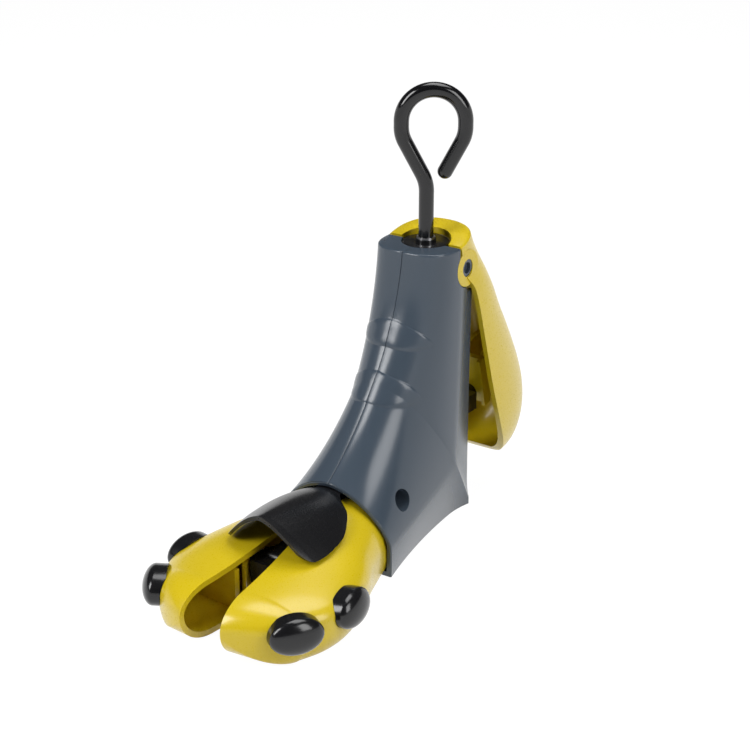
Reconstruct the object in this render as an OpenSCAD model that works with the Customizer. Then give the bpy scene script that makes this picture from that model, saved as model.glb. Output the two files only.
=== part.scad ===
// Two-way shoe stretcher: a hook handle turns a screw that spreads the toe and pushes the heel.
// Toe towards -Y, up is +Z, the screw's axis is X = 0, Y = 0 and the sole lies on Z = 0.

/* [Body] */
// Height of the body above its sole
body_h = 155; // [152:1:158]
// Height of the instep at the front collar
collar_h = 50; // [49:1:52]
// Greatest half width of the collar
collar_w = 34; // [34:0.5:36]
// Half width of the sole at the collar
collar_base_w = 31; // [30.5:0.5:32]
// Half width of the sole at the heel
heel_base_w = 17.5; // [17:0.5:18]
// Half width of the body's rear edge above the sole
heel_side_w = 20.3; // [19:0.1:20.6]
// Half width at the top of the body
top_w = 22.6; // [22.4:0.1:23]
// Distance from the screw to the front of the top face
top_front = 22.6; // [22:0.2:24]
// Wall of the body shells
body_wall = 2.4; // [2:0.1:2.6]
// Thickness of the sole
sole_t = 3; // [2.6:0.1:3]

/* [Handle] */
// Diameter of the handle rod
rod_d = 8; // [8:0.1:8.2]
// Radius of the hook, to the middle of the rod
hook_r = 16.4; // [15:0.1:18]
// Height of the hook's middle above the body
hook_rise = 62; // [58:1:68]
// Length of the hook's free end past its bend
hook_tail = 21.5; // [18:0.5:23]
// Turn of the hook's plane about the screw
hook_turn = 34.3; // [0:0.1:60]
// Pitch of the screw
pitch = 2; // [2:0.1:2.2]
// Radius of the bush's disc
bush_r = 12.6; // [12:0.1:12.8]

/* [Heel plate] */
// Angle that the heel plate stands open
heel_open = 14; // [13:0.5:14]
// Half width of the heel plate at its ears
heel_top_w = 22.4; // [22.2:0.1:22.6]
// Greatest half width of the heel plate
heel_w = 27.5; // [27:0.5:29]
// Wall of the heel plate
heel_wall = 2.8; // [2.6:0.1:3]
// Radius of the ears
ear_r = 10; // [9:0.2:10.2]
// Radius of the stub axles in the ears
stub_r = 4.7; // [4:0.1:5]

/* [Toe] */
// Angle that each toe half stands open
toe_open = 5.3; // [5:0.1:5.4]
// Greatest half width of the closed toe
toe_w = 43.3; // [42:0.1:46]
// Distance from the screw to the tip of the closed toe
toe_tip = 192.5; // [190:0.5:196]
// Wall of the toe halves
toe_wall = 3; // [2.6:0.1:3.2]
// Diameter of the toe hinge pins
toe_pin_d = 5; // [4.6:0.1:5.4]

/* [Plugs] */
// Length of a bunion plug
plug_l = 27; // [24:0.5:28]
// Height of a bunion plug
plug_h = 18.5; // [16:0.5:19]
// How far a bunion plug stands out
plug_t = 6; // [5:0.5:7]

/* [Saddle] */
// Half width of the saddle at its front
saddle_w = 27.5; // [24:0.5:28]
// Thickness of the saddle
saddle_t = 2.4; // [2:0.1:2.6]

/* [Hidden] */

GREY = "#46525e";
YELLOW = "#dec81e";
BLACK = "#17171a";
STEEL = "#b9bdc2";
BRASS = "#b08d4a";
FN = 48;
AHEAD = 8;

// Clearances
run = 0.06;
gap = 0.4;
seat = 0.3;

// Points where the body's outline turns
collar_y = 78;
collar_top_y = 90;
heel_y = 17.5;
rear_y = 13.6;
rear_lip = 4;
rear_lip_h = 18;
rear_top_w = 19.8;
top_t = 5;
rear_drop = 4.4;

// Pivot of the heel plate
pivot_y = 6;
pivot_z = body_h - 12.6;
ear_t = 3;
stub_in = heel_top_w - ear_t - gap;

// Toe hinge
hinge_x = 12;
hinge_y = -65;
toe_back_y = 74;
toe_back_top_y = 84;
toe_seam = 0.4;
toe_back_h = 46;

// Screw drive
rod_r = rod_d / 2;
cam_z = 52;
slide_rest = 23.78;
slide_max = slide_rest * 8 / 7;
front_ratio = 0.7;
front_drop = 12;
bar_reach = slide_rest * front_ratio;
cap_step_y = -2;
hollow_back = 0.8;

// Helpers for outlines
function lerp(a, b, u) = a + (b - a) * u;
function bezier(p, u) = let (v = 1 - u)
    v * v * v * p[0] + 3 * v * v * u * p[1] + 3 * v * u * u * p[2] + u * u * u * p[3];
function spline_span(a, b, c, d, u) = 0.5 * (2 * b + (c - a) * u
    + (2 * a - 5 * b + 4 * c - d) * u * u + (3 * b - a - 3 * c + d) * u * u * u);
function spline(rows, t) = let (n = len(rows) - 1, i = min(floor(t), n - 1), u = t - i)
    spline_span(rows[max(i - 1, 0)], rows[i], rows[i + 1], rows[min(i + 2, n)], u);
// Triangles that close a section whose two halves face each other
function end_strip(n) = [for (j = [0 : ceil(n / 2) - 2])
    each concat(j + 1 < n - 2 - j ? [[j, j + 1, n - 2 - j]] : [], [[j, n - 2 - j, n - 1 - j]])];
// Sections of equal length joined into one closed solid; they turn clockwise seen from the first
module loft(sections) {
    n = len(sections[0]);
    last = len(sections) - 1;
    points = [for (section = sections) each section];
    sides = [for (k = [0 : last - 1]) for (j = [0 : n - 1])
        let (a = k * n + j, b = k * n + (j + 1) % n, c = a + n, d = b + n)
        each [[a, c, b], [b, c, d]]];
    first_end = end_strip(n);
    last_end = [for (face = first_end) [for (j = [2 : -1 : 0]) last * n + face[j]]];
    polyhedron(points = points, faces = concat(sides, first_end, last_end), convexity = 6);
}

// Body: sections fan out between the seam on the instep and the edge of the sole and back
BODY_ROWS = 26;
SIDE_STEPS = 4;
ARCH_STEPS = 9;
function seam_point(u, d, h) = bezier([
    [-collar_top_y + 0.57 * d, collar_h - 0.82 * d],
    [-64 + 0.57 * d, collar_h + 18 - 0.82 * d],
    [-top_front - 6 + 0.99 * d, 0.68 * body_h],
    [-top_front + 0.99 * d, h]], u);
function rear_edge_y(z) = rear_y + rear_lip * pow(max(0, 1 - z / rear_lip_h), 2)
    + 2 * pow(min(1, z / body_h), 3);
function rear_half_width(z) = lerp(heel_side_w, rear_top_w, pow(z / body_h, 0.6));
function sole_half_width(u) = heel_base_w + (collar_base_w - heel_base_w) * pow(1 - u, 1.9)
    + (heel_side_w - heel_base_w) * pow(max(0, (u - 0.8) / 0.2), 2);
function bulge(s) = top_w + (collar_w - top_w) * pow(1 - s, 1.5);
function squareness(s) = 1.7 + 1.3 * s;
function arch(s, w_end, from, to, w) = let (p = squareness(s), peak = 0.6) concat(
    [for (j = [0 : ARCH_STEPS]) let (a = 90 * j / ARCH_STEPS)
        concat([w * pow(sin(a), 2 / p)], lerp(from, to, peak * (1 - pow(cos(a), 2 / p))))],
    [for (j = [1 : SIDE_STEPS]) let (q = j / SIDE_STEPS)
        concat([lerp(w, w_end, q)], lerp(from, to, lerp(peak, 1, q)))]);
function body_section(s, d, h, floor_z, back) = let (
    low = s < 0.5, u = low ? 2 * s : 2 * s - 1, z = low ? 0 : u * h,
    from = seam_point(s, d, h),
    to = low ? [lerp(-collar_y, heel_y + back, u), floor_z]
        : [rear_edge_y(z) + back, max(z, floor_z)],
    w_end = (low ? sole_half_width(u) : rear_half_width(z)) - d,
    curve = arch(s, w_end, from, to, bulge(s) - d),
    x_in = d > 0 ? -1 : 0)
    concat([concat([x_in], from)], [for (j = [1 : len(curve) - 1]) curve[j]],
        [concat([x_in], to)]);
function body_sections(d, h, floor_z, back) =
    [for (k = [0 : BODY_ROWS]) body_section(k / BODY_ROWS, d, h, floor_z, back)];
function moved(section, by) = [for (p = section) p + by];
module body_outer() {
    rows = body_sections(0, body_h, 0, 0);
    loft(rows);
}
module body_hollow() {
    rows = body_sections(body_wall, body_h - top_t - rear_drop, sole_t, hollow_back);
    loft(concat([moved(rows[0], [0, -AHEAD, 0])], rows));
}

// Screws that join the shells, each along X
screw_places = [[-64, 38], [-20, 11]];
screw_head_r = 4.2;
screw_r = 1.9;
well_r = 5.6;
boss_r = 3.2;
boss_start = 6;
ear_pad_back = 14;
ear_pad_low = 14.4;
shelf_z = 11.6;
shelf_t = 4;
rail_w = 2.6;
rail_low = 14;
rail_h = 92;
saddle_boss_r = 3.2;
function screw_side(i) = i == 0 ? 1 : -1;

// What stands inside one shell, trimmed by the shell's wall
module shell_inside() {
    for (i = [0, 1]) translate([0, screw_places[i][0], screw_places[i][1]]) rotate([0, 90, 0]) {
        cylinder(r = boss_r, h = 40, $fn = FN);
        translate([0, 0, boss_start]) cylinder(r = well_r + 1.6, h = 40, $fn = FN);
    }
    // Pads behind the ears
    translate([stub_in - 2.6, pivot_y - ear_pad_back, pivot_z - ear_pad_low]) cube([10, 22, 22]);
    // Shelf over the toe hinge
    translate([hinge_x, hinge_y, shelf_z]) cylinder(r = 4.5, h = shelf_t, $fn = FN);
    translate([hinge_x, hinge_y - 4.5, shelf_z]) cube([30, 9, shelf_t]);
    // Rails on both sides of the carriage
    for (y = [-cheek_out, 4]) translate([cheek_out + gap, y, rail_low]) cube([16, rail_w, rail_h]);
    // Bosses for the saddle's tongue
    translate([saddle_screw_x, saddle_screw_y, tongue_top + seat])
        cylinder(r = saddle_boss_r, h = 20, $fn = FN);
}
module body_shell(side) {
    difference() {
        body_outer();
        difference() {
            body_hollow();
            shell_inside();
        }
        // Seat of the bush, its flange below and the step under the heel plate's cap
        translate([0, 0, body_h - bush_disc_t]) cylinder(r = bush_r + gap, h = 10, $fn = 96);
        translate([0, 0, body_h - 40]) cylinder(r = bush_neck_r + run, h = 60, $fn = 96);
        translate([-1, cap_step_y, body_h - rear_drop]) cube([40, 40, 20]);
        // Room for the ears and the sides of the heel plate
        translate([stub_in, pivot_y, pivot_z])
            rotate([0, 90, 0]) cylinder(r = ear_r + 0.6, h = 20, $fn = 96);
        translate([stub_in, cap_step_y, pivot_z]) cube([20, 40, 30]);
        translate([stub_in - 2.4, pivot_y + 2, pivot_z - ear_pad_low]) cube([20, 40, 40]);
        translate([stub_in, pivot_y, pivot_z - 12]) cube([20, 40, 14]);
        // Screw wells and pilot holes
        for (i = [0, 1]) translate([0, screw_places[i][0], screw_places[i][1]])
            rotate([0, 90, 0]) {
                translate([0, 0, -1]) cylinder(r = screw_r + run, h = screw_side(i) == side ? 40 : 11,
                    $fn = FN);
                if (screw_side(i) == side)
                    translate([0, 0, screw_seat_x]) cylinder(r = well_r, h = 40, $fn = FN);
            }
        // Toe hinge pin
        translate([hinge_x, hinge_y, 1])
            cylinder(d = toe_pin_d + 2 * run, h = 15, $fn = FN);
        // Saddle screw
        translate([saddle_screw_x, saddle_screw_y, tongue_z])
            cylinder(r = saddle_screw_r + run, h = 10, $fn = FN);
    }
    difference() {
        translate([stub_in - 3.5, pivot_y, pivot_z])
            rotate([0, 90, 0]) cylinder(r = stub_r, h = ear_t + 3.5, $fn = 96);
        translate([stub_in + 1, pivot_y, pivot_z])
            rotate([0, 90, 0]) cylinder(r = stub_r - 1.6, h = ear_t, $fn = 96);
    }
}
screw_seat_x = 9;
module body_shell_left() {
    color(GREY) body_shell(1);
}
module body_shell_right() {
    color(GREY) mirror([1, 0, 0]) body_shell(-1);
}
module shell_screws() {
    color(STEEL) for (i = [0, 1]) translate([0, screw_places[i][0], screw_places[i][1]])
        rotate([0, screw_side(i) * 90, 0]) {
            translate([0, 0, -8]) cylinder(r = screw_r, h = 8 + screw_seat_x, $fn = FN);
            translate([0, 0, screw_seat_x]) difference() {
                cylinder(r = screw_head_r, h = 2.6, $fn = FN);
                for (a = [0, 90]) rotate([0, 0, a]) translate([-2.4, -0.5, 1.2]) cube([4.8, 1, 2]);
            }
        }
}

// Bush in the top face
bush_disc_t = 4;
bush_neck_r = 9;
bush_flange_r = 11;
bush_collar_r = 5.4;
bush_collar_h = 1.4;
bush_flange_z = body_h - top_t - rear_drop;
module top_bush() {
    color(BLACK) difference() {
        union() {
            translate([0, 0, body_h - bush_disc_t]) cylinder(r = bush_r, h = bush_disc_t - 0.6, $fn = 96);
            translate([0, 0, body_h - 0.6]) cylinder(r1 = bush_r, r2 = bush_r - 0.6, h = 0.6, $fn = 96);
            translate([0, 0, bush_flange_z - 4]) cylinder(r = bush_neck_r, h = 10, $fn = 96);
            translate([0, 0, bush_flange_z - 4]) cylinder(r = bush_flange_r, h = 4 - run, $fn = 96);
            translate([0, 0, body_h]) cylinder(r = bush_collar_r, h = bush_collar_h, $fn = FN);
        }
        translate([0, 0, bush_flange_z - 10]) cylinder(r = rod_r + run, h = 40, $fn = FN);
    }
}
module thrust_washer() {
    color(STEEL) translate([0, 0, bush_flange_z - 4 - run - 1]) difference() {
        cylinder(r = 7.5, h = 1, $fn = FN);
        translate([0, 0, -1]) cylinder(r = rod_r + run, h = 3, $fn = FN);
    }
}

// Handle: hook, rod and spindle in one bent bar, with rings for the thread
spindle_top = bush_flange_z - 9;
spindle_end = 9;
thread_depth = 0.7;
hook_flat = 3;
hook_lean = 28;
bend_r = 20;
hook_shift = 3.2;
lap = 0.5;
lap_step = 0.02;
hook_z = body_h + hook_rise;
module ring_arc(radius, angle) {
    rotate_extrude(angle = angle, $fn = 96) translate([radius, 0]) circle(r = rod_r, $fn = FN);
}
// The bar's bend lies where its straight slope meets the rod's axis
slope_x = hook_shift - hook_r * cos(hook_lean);
slope_z = hook_z - hook_flat / 2 - hook_r * sin(hook_lean);
corner_z = slope_z + slope_x / tan(hook_lean);
bend_cut = bend_r * tan(hook_lean / 2);
slope_l = -slope_x / sin(hook_lean) - bend_cut;
module bar_piece(length) {
    translate([0, 0, -lap]) cylinder(r = rod_r - lap_step, h = length + 2 * lap, $fn = FN);
}
module hook() {
    // Bend that leans the bar to the side
    translate([-bend_r, 0, corner_z - bend_cut]) rotate([90, 0, 0]) mirror([0, 0, 1])
        ring_arc(bend_r, hook_lean);
    translate([slope_x, 0, slope_z]) rotate([0, 180 - hook_lean, 0]) bar_piece(slope_l);
    translate([hook_shift, 0, hook_z - hook_flat / 2]) rotate([90, 0, 0]) {
        rotate([0, 0, 180]) ring_arc(hook_r, hook_lean);
        rotate([0, 0, -hook_lean]) ring_arc(hook_r, hook_lean);
    }
    translate([hook_shift, 0, hook_z + hook_flat / 2]) rotate([90, 0, 0]) ring_arc(hook_r, 180);
    for (side = [-1, 1]) translate([hook_shift + side * hook_r, 0, hook_z - hook_flat / 2])
        bar_piece(hook_flat);
    translate([hook_shift + hook_r * cos(hook_lean), 0, slope_z])
        rotate([0, 180 + hook_lean, 0]) {
            bar_piece(hook_tail - rod_r);
            translate([0, 0, hook_tail - rod_r]) sphere(r = rod_r, $fn = FN);
        }
}
module spindle() {
    turns = floor((spindle_top - spindle_end - 4) / pitch);
    root = rod_r - thread_depth;
    profile = concat([[0, spindle_end], [root - 0.8, spindle_end], [root, spindle_end + 0.8]],
        [for (i = [0 : turns - 1]) let (z = spindle_end + 2 + i * pitch)
            each [[root, z], [rod_r, z + 0.35 * pitch], [rod_r, z + 0.5 * pitch],
                [root, z + 0.85 * pitch]]],
        [[root, spindle_top - 1], [rod_r, spindle_top], [rod_r, spindle_top + 1],
            [0, spindle_top + 1]]);
    rotate_extrude($fn = FN) polygon(profile);
}
module handle_rod() {
    color(BLACK) rotate([0, 0, hook_turn]) {
        spindle();
        difference() {
            translate([0, 0, spindle_top]) bar_piece(corner_z - bend_cut - spindle_top);
            for (z = [ring_z, clip_z]) translate([0, 0, z]) difference() {
                cylinder(r = rod_r + 1, h = 1, $fn = FN);
                translate([0, 0, -1]) cylinder(r = rod_r - 0.5, h = 3, $fn = FN);
            }
        }
        hook();
    }
}
ring_z = body_h + bush_collar_h + run;
clip_z = bush_flange_z - 4 - 2 * run - 2;
module clip(z, radius) {
    translate([0, 0, z]) difference() {
        cylinder(r = radius, h = 1, $fn = FN);
        translate([0, 0, -1]) cylinder(r = rod_r - 0.45, h = 3, $fn = FN);
    }
}
module retaining_ring() {
    color(STEEL) clip(ring_z, 4.9);
}
module tail_clip() {
    color(STEEL) clip(clip_z, 6.2);
}

// Carriage: the nut's hub and two cheeks with slanted slots, drawn with the stretcher closed
cheek_in = 10;
cheek_out = 13;
hub_z = 88;
hub_t = 13;
nut_w = 13;
nut_t = 6.5;
pin_r = 2;
heel_pin_y = -18;
front_pin_y = -29.5;
front_pin_z = 47;
function heel_slot(s) = [heel_pin_y + s, cam_z + s];
function front_slot(s) = [front_pin_y - front_ratio * cos(front_drop) * s,
    front_pin_z + (1 - front_ratio * sin(front_drop)) * s];
// A flat plate with round ends, in the YZ plane
END_STEPS = 24;
function round_end(centre, radius, start) = [for (i = [0 : END_STEPS])
    let (a = start + 180 * i / END_STEPS) centre + radius * [cos(a), sin(a)]];
module slot_plate(p, q, radius, x, t) {
    along = atan2(q[1] - p[1], q[0] - p[0]);
    translate([x, 0, 0]) rotate([90, 0, 90]) linear_extrude(t)
        polygon(concat(round_end(q, radius, along - 90), round_end(p, radius, along + 90)));
}
module closed_carriage() {
    difference() {
        union() {
            for (x = [-cheek_out, cheek_in]) {
                slot_plate(heel_slot(0), heel_slot(slide_max), 4.5, x, 3);
                slot_plate(front_slot(0), front_slot(slide_max), 4.5, x, 3);
                translate([x, front_pin_y, cam_z - 4]) cube([3, heel_pin_y - front_pin_y, 8]);
                translate([x, -12, cam_z + 2]) cube([3, 12, hub_z + hub_t - cam_z - 2]);
                translate([x, -12, hub_z]) cube([3, 21, hub_t]);
                translate([x, -38, 68]) cube([3, 32, 5]);
            }
            translate([-cheek_in - 0.5, -9, hub_z]) cube([2 * cheek_in + 1, 18, hub_t]);
        }
        for (x = [-cheek_out - 1, cheek_in - 1]) {
            slot_plate(heel_slot(-1), heel_slot(slide_max + 1), pin_r + run, x, 5);
            slot_plate(front_slot(-1), front_slot(slide_max + 1), pin_r + run, x, 5);
        }
        translate([0, 0, hub_z - 1]) cylinder(r = rod_r + 0.5, h = hub_t + 2, $fn = FN);
        translate([-nut_w / 2, -nut_w / 2, hub_z + 3]) cube([nut_w, 40, nut_t]);
    }
}
module at_slide(s) {
    translate([0, 0, -s]) children();
}
module cam_carriage() {
    color(BLACK) at_slide(slide_rest) closed_carriage();
}
module drive_nut() {
    color(BRASS) at_slide(slide_rest) translate([0, 0, hub_z + 3]) difference() {
        translate([-nut_w / 2 + run, -nut_w / 2 + run, run])
            cube([nut_w - 2 * run, nut_w - 2 * run, nut_t - 2 * run]);
        translate([0, 0, -1]) cylinder(r = rod_r + run, h = nut_t + 2, $fn = FN);
    }
}

// Heel pusher: a fork round the spindle with a round head against the heel plate's pad
pusher_in = 5.4;
pusher_out = 9.6;
pusher_half = 5;
head_r = 6;
pad_y = 26.8;
dome_r = 7;
dome_y = pivot_y + (pad_y - pivot_y - dome_r - seat) / cos(heel_open)
    + (pivot_z - cam_z) * tan(heel_open);
fork_y = heel_pin_y + slide_rest - 4;
fork_end = fork_y + 34;
module heel_pusher() {
    color(BLACK) difference() {
        union() {
            translate([-pusher_out, fork_y, cam_z - pusher_half])
                cube([2 * pusher_out, fork_end - fork_y + 4, 2 * pusher_half]);
            translate([0, fork_end, cam_z]) rotate([-90, 0, 0])
                cylinder(r = head_r, h = dome_y - fork_end + 1, $fn = FN);
            translate([0, dome_y, cam_z]) rotate([-90, 0, 0]) intersection() {
                sphere(r = dome_r, $fn = 96);
                cylinder(r = head_r, h = dome_r + 1, $fn = FN);
            }
        }
        translate([-pusher_in, fork_y - 1, cam_z - 6]) cube([2 * pusher_in, fork_end - fork_y + 1, 12]);
        translate([-20, heel_pin_y + slide_rest, cam_z]) rotate([0, 90, 0])
            cylinder(r = pin_r, h = 40, $fn = FN);
    }
}
module heel_cam_pin() {
    length = cheek_out - pusher_in - 0.2;
    color(STEEL) for (side = [-1, 1])
        translate([side * (cheek_out + pusher_in + 0.2) / 2, heel_pin_y + slide_rest, cam_z])
            rotate([0, 90, 0]) cylinder(r = pin_r, h = length, center = true, $fn = FN);
}

// Heel plate, drawn closed: sections hang from its front rim, from the cap down to the heel
// Half width, front rim's distance and height, back's distance and height
drawn_h = 155;
function heel_z(z) = z * body_h / drawn_h;
heel_keys = [
    [heel_top_w - 1.2, 2.5, body_h + 2, 25.2, body_h + 2],
    [heel_top_w - 0.2, 2.5, body_h + 1.2, 26.4, body_h + 1.2],
    [heel_top_w, 2.5, body_h, 26.8, body_h],
    [heel_top_w, 2.6, heel_z(147), 29.5, heel_z(147)],
    [heel_top_w + 0.4, 4, heel_z(138), 33, heel_z(138)],
    [heel_top_w + 1.8, 8, heel_z(129), 36.5, heel_z(127)],
    [lerp(heel_top_w, heel_w, 0.56), 8.8, heel_z(116), 41, heel_z(115)],
    [lerp(heel_top_w, heel_w, 0.68), 8.8, heel_z(102), 45.5, heel_z(100)],
    [lerp(heel_top_w, heel_w, 0.8), 8.8, heel_z(88), 50.5, heel_z(86)],
    [lerp(heel_top_w, heel_w, 0.92), 8.8, heel_z(74), 55, heel_z(72)],
    [heel_w, 9.4, heel_z(60), 59, heel_z(57)],
    [heel_w, 11, heel_z(46), 61, heel_z(43)],
    [heel_w - 0.9, 13.4, heel_z(34), 60, heel_z(30)],
    [heel_w - 3, 16.8, heel_z(23.5), 56, heel_z(19.5)],
    [heel_w - 6.6, 20.6, heel_z(14.5), 49.5, heel_z(11)],
    [heel_w - 12, 24.4, heel_z(7.8), 41.5, heel_z(5.6)],
    [heel_w - 19.5, 27.2, heel_z(4.4), 34, heel_z(3.8)],
    [heel_w - 25, 28.2, heel_z(3.4), 30.2, heel_z(3.2)]];
U_STEPS = 26;
function u_section(k, d, ahead) = let (w = k[0] - d, p = 2.4, from = [k[1], k[2]],
    to = [k[3], k[4]], along = (to - from) / norm(to - from), back = to - along * d)
    concat([concat([w], from - along * ahead)],
        [for (j = [0 : U_STEPS]) let (a = 180 * j / U_STEPS, c = cos(a))
            concat([w * sign(c) * pow(abs(c), 2 / p)], lerp(from, back, pow(sin(a), 2 / p)))],
        [concat([-w], from - along * ahead)]);
HEEL_ROWS = 34;
module heel_outer() {
    loft([for (i = [HEEL_ROWS : -1 : 0])
        u_section(spline(heel_keys, i * (len(heel_keys) - 1) / HEEL_ROWS), 0, 0.01)]);
}
// The hollow starts under the cap and ends before the last sections
module heel_hollow() {
    top = 2.3;
    end = 15.2;
    loft([for (i = [HEEL_ROWS : -1 : 0]) let (k = spline(heel_keys, lerp(top, end, i / HEEL_ROWS)))
        u_section([k[0], k[1], k[2] + (i / HEEL_ROWS) * heel_wall, k[3],
            k[4] + pow(i / HEEL_ROWS, 3) * heel_wall], heel_wall, 8)]);
}
pad_half = 8;
pad_low = cam_z - 14;
pad_h = 30;
pad_rib = 2.4;
module closed_heel_plate() {
    difference() {
        union() {
            difference() {
                heel_outer();
                difference() {
                    heel_hollow();
                    // Pad that the pusher's head bears on, on two ribs, with a rail on each side
                    translate([-pad_half, pad_y, pad_low]) cube([2 * pad_half, 3, pad_h]);
                    for (x = [-pad_half, pad_half - pad_rib]) translate([x, pad_y, pad_low])
                        cube([pad_rib, 2 * heel_w, pad_h]);
                    for (x = [-pad_half - 2, pad_half]) translate([x, pad_y - 3, pad_low])
                        cube([2, 6, pad_h]);
                }
            }
            for (x = [-heel_top_w, heel_top_w - ear_t]) translate([x, pivot_y, pivot_z])
                rotate([0, 90, 0]) cylinder(r = ear_r, h = ear_t, $fn = 96);
        }
        // Bores of the ears
        translate([-2 * heel_top_w, pivot_y, pivot_z]) rotate([0, 90, 0])
            cylinder(r = stub_r + run, h = 4 * heel_top_w, $fn = 96);
        // Horseshoe round the bush
        translate([0, horseshoe_y, body_h - 20]) cylinder(r = horseshoe_r, h = 40, $fn = 96);
        translate([-horseshoe_r, horseshoe_y - 20, body_h - 20]) cube([2 * horseshoe_r, 20, 40]);
    }
}
horseshoe_r = 14.6;
horseshoe_y = 1.2;
module at_heel(angle) {
    translate([0, pivot_y, pivot_z]) rotate([angle, 0, 0]) translate([0, -pivot_y, -pivot_z])
        children();
}
module heel_plate() {
    color(YELLOW) at_heel(heel_open) closed_heel_plate();
}

// Front bar and spreader
front_pin_now = [front_pin_y - bar_reach * cos(front_drop), front_pin_z - bar_reach * sin(front_drop)];
bar_w = 8;
bar_half = 3.5;
spreader_w = 10.5;
spreader_y = -127;
spreader_front = spreader_y - bar_reach * cos(front_drop);
bar_end_y = spreader_front + 12;
bar_end = [bar_end_y, front_pin_now[1] - (front_pin_now[0] - bar_end_y) * tan(front_drop)];
// Ends of the bar's slot round the shells' front screw
function bar_slot(s) = screw_places[0]
    + front_ratio * (s - slide_rest) * [cos(front_drop), sin(front_drop)];
module front_bar() {
    color(BLACK) difference() {
        union() {
            slot_plate(front_pin_now, bar_end, bar_half, -bar_w / 2, bar_w);
            slot_plate(bar_slot(-1), bar_slot(slide_max + 1), boss_r + gap + 2.2, -bar_w / 2, bar_w);
            translate([-cheek_in + gap, front_pin_now[0], front_pin_now[1]]) rotate([0, 90, 0])
                cylinder(r = bar_half + 0.4, h = 2 * (cheek_in - gap), $fn = FN);
        }
        translate([-20, front_pin_now[0], front_pin_now[1]]) rotate([0, 90, 0])
            cylinder(r = pin_r, h = 40, $fn = FN);
        translate([-20, bar_end[0], bar_end[1]]) rotate([0, 90, 0])
            cylinder(r = 1.5, h = 40, $fn = FN);
        slot_plate(bar_slot(-1), bar_slot(slide_max + 1), boss_r + gap, -20, 40);
    }
}
module front_cam_pin() {
    color(STEEL) translate([-cheek_out, front_pin_now[0], front_pin_now[1]]) rotate([0, 90, 0])
        cylinder(r = pin_r, h = 2 * cheek_out, $fn = FN);
}
spreader_low = 15.5;
spreader_high = 27.5;
module spreader() {
    lug = 3.5;
    color(BLACK) difference() {
        union() {
            translate([0, 0, spreader_low]) linear_extrude(spreader_high - spreader_low) polygon([
                [-spreader_w, spreader_front + 2], [-spreader_w + 2, spreader_front],
                [spreader_w - 2, spreader_front], [spreader_w, spreader_front + 2],
                [spreader_w, spreader_front + 14], [spreader_w - 3, spreader_front + 20],
                [-spreader_w + 3, spreader_front + 20], [-spreader_w, spreader_front + 14]]);
            translate([-spreader_w + 3, bar_end[0], bar_end[1]]) rotate([0, 90, 0])
                cylinder(r = lug, h = 2 * spreader_w - 6, $fn = FN);
        }
        translate([-bar_w / 2 - run, bar_end[0] - bar_half - 0.5, spreader_low - 1])
            cube([bar_w + 2 * run, 40, 40]);
        translate([-20, bar_end[0], bar_end[1]]) rotate([0, 90, 0])
            cylinder(r = 1.5, h = 40, $fn = FN);
    }
}
module spreader_pin() {
    color(STEEL) translate([-spreader_w + 3, bar_end[0], bar_end[1]]) rotate([0, 90, 0])
        cylinder(r = 1.5, h = 2 * spreader_w - 6, $fn = FN);
}

// Toe halves, drawn closed: distance at the bottom and at the top, half width, top's height,
// height of the widest place, and how far the bottom edge is set in
toe_keys = [
    [toe_back_y, toe_back_top_y, 27.4, 41.8, 18, 6],
    [82, 88, 28.8, 41.8, 18.4, 6],
    [93, 95, 31.2, 41.2, 19, 6],
    [106, 106, toe_w - 8.9, 39.6, 19.4, 6],
    [122, 122, toe_w - 3.5, 36.8, 19.6, 6.5],
    [142, 142, toe_w, 33.4, 19.6, 7],
    [158, 158, toe_w - 2, 31.4, 19, 7],
    [toe_tip - 21.5, toe_tip - 21.5, toe_w - 8.4, 30.4, 17.4, 6.5]];
TOE_ROWS = 18;
TIP_ROWS = 7;
function toe_section(k, low, d, x_in) = let (w = k[2] - d, top = k[3] - d, mid = k[4],
    edge = max(w - k[5], 0.4 * w), p = 2, flat = [for (u = [0, 0.5]) [lerp(toe_seam, edge, u), low]],
    side = [for (j = [0 : 4]) let (a = 90 * j / 5)
        [edge + (w - edge) * sin(a), mid - (mid - low) * cos(a)]],
    roof = [for (j = [0 : 10]) let (a = 9 * j)
        [toe_seam + (w - toe_seam) * pow(cos(a), 2 / p), mid + (top - mid) * pow(sin(a), 2 / p)]],
    inner = x_in < toe_seam,
    outline = concat(inner ? [[x_in, low]] : [], flat, side, roof, inner ? [[x_in, top]] : []))
    [for (q = outline) [q[0], -lerp(k[0], k[1], q[1] / toe_back_h), q[1]]];
function toe_tip_section(u, d, x_in) = let (k = toe_keys[len(toe_keys) - 1], a = 86 * u,
    reach = 21.5 - d, c = cos(a), shrink = pow(1 - pow(sin(a), 1.5), 2 / 3), mid = k[4],
    y = toe_tip - 21.5 + reach * sin(a))
    toe_section([y, y, d + (k[2] - d) * shrink, d + mid + (k[3] - d - mid) * c, mid, k[5] * shrink],
        mid - (mid - max(d, 0)) * c, d, x_in);
module toe_solid(d, x_in) {
    rows = concat([for (i = [0 : TOE_ROWS])
            toe_section(spline(toe_keys, i * (len(toe_keys) - 1) / TOE_ROWS), max(d, 0), d, x_in)],
        [for (i = [1 : TIP_ROWS]) toe_tip_section(i / TIP_ROWS, d, x_in)]);
    loft(d > 0 ? concat([moved(rows[0], [0, AHEAD, 0])], rows) : rows);
}
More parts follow.
